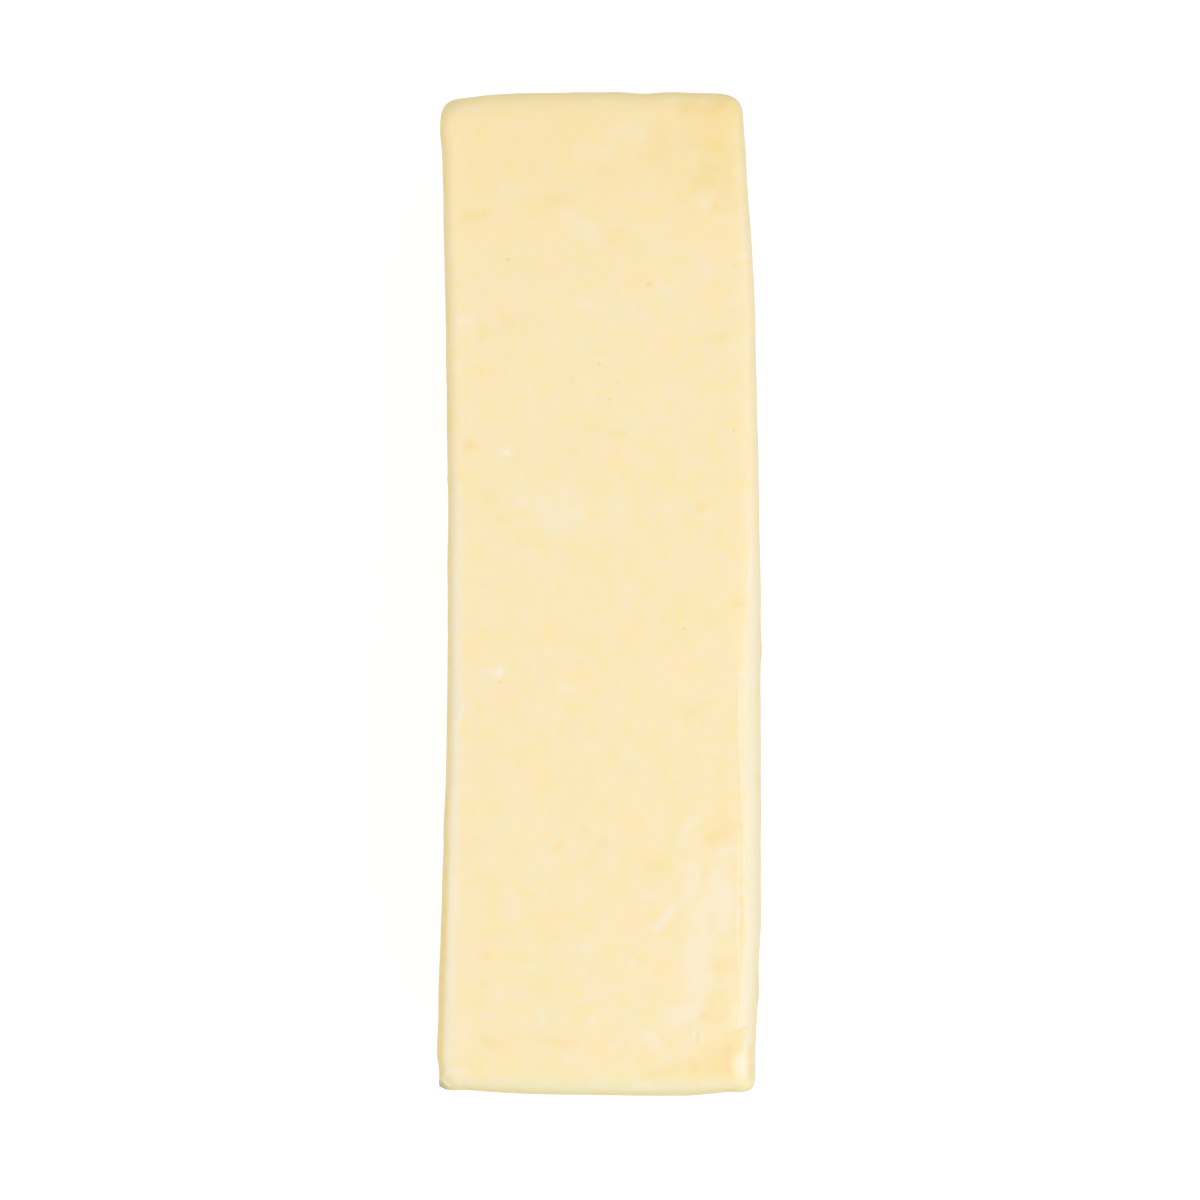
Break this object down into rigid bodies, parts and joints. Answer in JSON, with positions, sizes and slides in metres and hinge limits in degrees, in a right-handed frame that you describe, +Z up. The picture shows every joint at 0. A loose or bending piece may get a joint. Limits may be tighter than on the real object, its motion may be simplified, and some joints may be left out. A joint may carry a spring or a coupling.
{
  "type": "cheddar block",
  "caption": "Rectangular loaf of pale cheddar cheese with softly rounded edges, lying on its long flat base.",
  "frame": {"origin": "centre of the loaf's footprint, on the flat base face", "axes": "+Z up out of the shown top face, +Y along the length towards the slightly narrower end, +X towards the wall that bows outwards"},
  "size_m": [0.092, 0.2814, 0.0865],
  "materials": {
    "cheese": "pale creamy yellow cheddar, satin and slightly waxy"
  },
  "bodies": {
    "root": {"cheddar_block": "cheese"}
  },
  "joints": []
}
